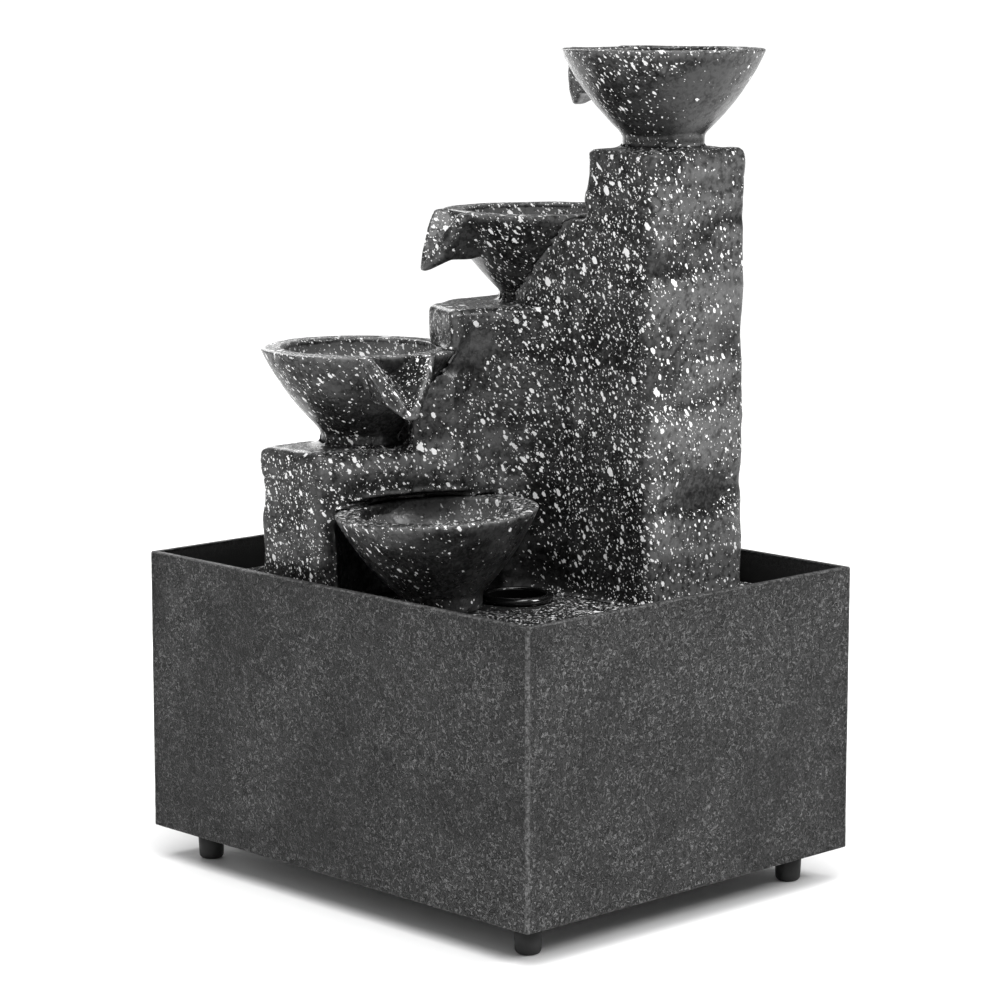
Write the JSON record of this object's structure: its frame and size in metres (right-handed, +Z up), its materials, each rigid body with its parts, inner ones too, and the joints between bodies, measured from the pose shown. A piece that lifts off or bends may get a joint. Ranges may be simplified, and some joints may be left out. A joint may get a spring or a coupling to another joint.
{
  "type": "tabletop water fountain",
  "caption": "Tabletop water fountain: black speckled pouring bowls step down rock towers that lift out of a slate-look basin on feet; a submersible pump feeds the top bowl.",
  "frame": {"origin": "on the ground, under the middle of the basin", "axes": "+Z up, front (the long side with the lowest bowls) towards -Y, pillar towards +X"},
  "size_m": [0.185, 0.1504, 0.2785],
  "materials": {
    "slate_look_shell": "charcoal, embossed slate and leather grain, satin",
    "speckled_resin": "black satin lacquer with white paint speckles",
    "black_rubber": "matt",
    "gloss_black_plastic": "gloss",
    "clear_hose": "clear soft vinyl",
    "pump_plastic": "fine moulded texture",
    "epoxy": "poured epoxy",
    "core_steel": "stacked laminations",
    "nylon": "natural nylon",
    "copper_wire": "enamelled copper wire",
    "red_seal": "matt",
    "ferrite": "sintered ferrite",
    "shaft_ceramic": "ground ceramic",
    "sponge": "open-cell foam",
    "cup_rubber": "translucent grey rubber"
  },
  "bodies": {
    "basin": {"basin": "slate_look_shell", "foot_front_left": "black_rubber", "foot_front_right": "black_rubber", "foot_rear_left": "black_rubber", "foot_rear_right": "black_rubber", "cord_grommet": "black_rubber", "pump_housing": "pump_plastic", "motor_potting": "epoxy", "stator_core": "core_steel", "coil_bobbin": "nylon", "coil_winding": "copper_wire", "motor_cord_gland": "black_rubber", "impeller_chamber": "pump_plastic", "chamber_gasket": "red_seal", "rotor_shaft": "shaft_ceramic", "rear_bush": "black_rubber", "front_bush": "black_rubber", "suction_cups": "cup_rubber"},
    "cascade": {"deck_plate": "speckled_resin", "drain_ring": "gloss_black_plastic", "low_tower": "speckled_resin", "middle_tower": "speckled_resin", "pillar": "speckled_resin", "top_bowl": "speckled_resin", "second_bowl": "speckled_resin", "third_bowl": "speckled_resin", "lower_bowl": "speckled_resin", "outlet_nozzle": "gloss_black_plastic", "delivery_hose": "clear_hose"},
    "intake_cover": {"intake_cover": "pump_plastic", "intake_sponge": "sponge"},
    "flow_dial": {"flow_dial": "gloss_black_plastic"},
    "rotor": {"rotor_magnet": "ferrite", "impeller": "nylon"}
  },
  "joints": [
    {"name": "cascade_lift", "type": "slide", "parent": "basin", "child": "cascade", "axis": [0, 0, 1], "range_m": [0, 0.22]},
    {"name": "cover_pull", "type": "slide", "parent": "basin", "child": "intake_cover", "axis": [0, -1, 0], "range_m": [0, 0.045]},
    {"name": "flow_dial_turn", "type": "hinge", "parent": "intake_cover", "child": "flow_dial", "pos_m": [0.0465, 0.014, 0.045], "axis": [0, -1, 0], "range_deg": [0, 90]},
    {"name": "rotor_spin", "type": "hinge", "parent": "basin", "child": "rotor", "pos_m": [0.0465, 0.038, 0.045], "axis": [0, 1, 0], "continuous": true}
  ]
}
